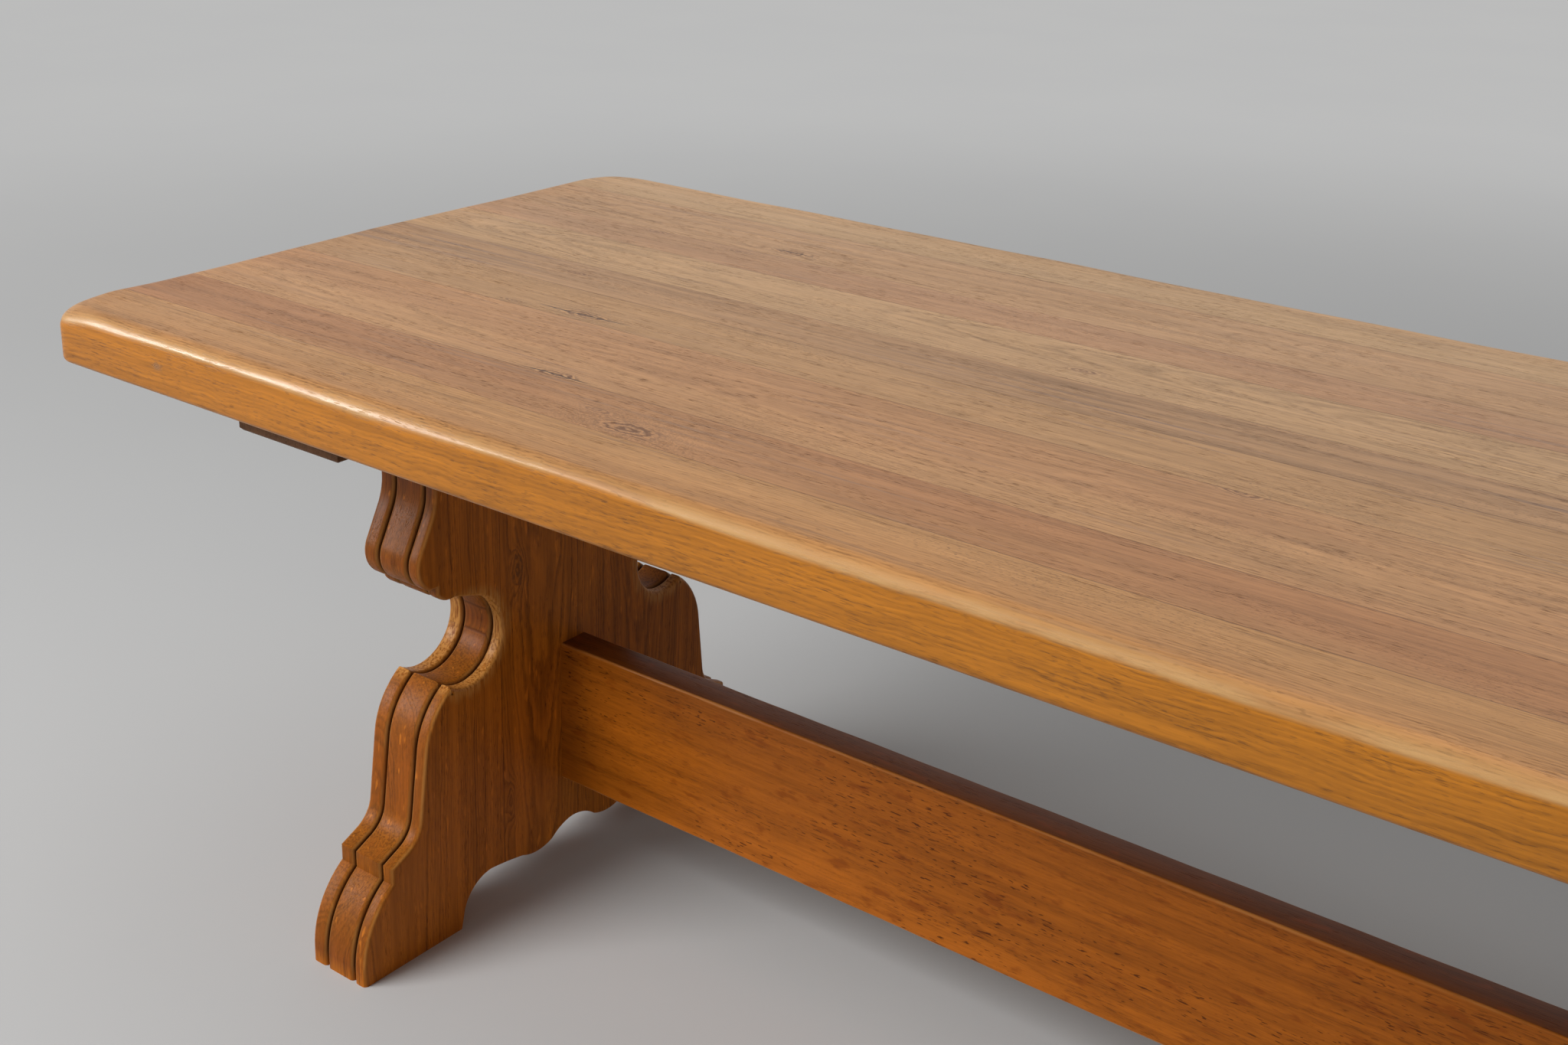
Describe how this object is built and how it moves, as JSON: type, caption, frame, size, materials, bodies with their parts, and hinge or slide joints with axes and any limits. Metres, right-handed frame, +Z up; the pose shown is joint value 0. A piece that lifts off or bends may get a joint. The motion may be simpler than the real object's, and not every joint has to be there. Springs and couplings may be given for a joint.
{
  "type": "trestle dining table",
  "caption": "Solid oak dining table: a thick staved top on two scroll-cut trestles with moulded, banded edges, tied by a deep tenoned stretcher.",
  "frame": {"origin": "on the floor under the middle of the top", "axes": "+X along the top, +Y across it, +Z up; the first trestle, in full view from the front left, stands at -X"},
  "size_m": [2.4, 0.9, 0.76],
  "materials": {
    "top_oak_pale": "pale tan oak, satin wax, open grain",
    "top_oak_tan": "golden tan oak, satin wax, open grain",
    "top_oak_brown": "pinkish brown oak, satin wax, open grain",
    "trestle_oak": "red-brown stained oak, satin wax",
    "bearer_oak": "dark brown stained oak",
    "stretcher_oak": "orange-brown stained oak, satin wax",
    "plug_oak": "end-grain oak plug",
    "steel": "zinc-plated steel"
  },
  "bodies": {
    "root": {"top_stave_1": "top_oak_tan", "top_stave_2": "top_oak_brown", "top_stave_3": "top_oak_pale", "top_stave_4": "top_oak_pale", "top_stave_5": "top_oak_brown", "top_stave_6": "top_oak_pale", "top_stave_7": "top_oak_brown", "top_stave_8": "top_oak_tan", "top_stave_9": "top_oak_pale", "left_trestle_wide_foot": "trestle_oak", "left_trestle_wide_scroll": "trestle_oak", "left_trestle_narrow_board": "trestle_oak", "left_trestle_wide_board": "trestle_oak", "left_trestle_narrow_foot": "trestle_oak", "left_trestle_narrow_scroll": "trestle_oak", "left_bearer": "bearer_oak", "right_trestle_wide_foot": "trestle_oak", "right_trestle_wide_scroll": "trestle_oak", "right_trestle_narrow_board": "trestle_oak", "right_trestle_wide_board": "trestle_oak", "right_trestle_narrow_foot": "trestle_oak", "right_trestle_narrow_scroll": "trestle_oak", "right_bearer": "bearer_oak", "stretcher": "stretcher_oak", "bed_bolts": "steel", "bed_bolt_washers": "steel", "barrel_nuts": "steel", "bearer_screws": "steel", "bearer_screw_washers": "steel", "top_screws": "steel", "top_screw_washers": "steel", "bolt_hole_plugs": "plug_oak"}
  },
  "joints": []
}
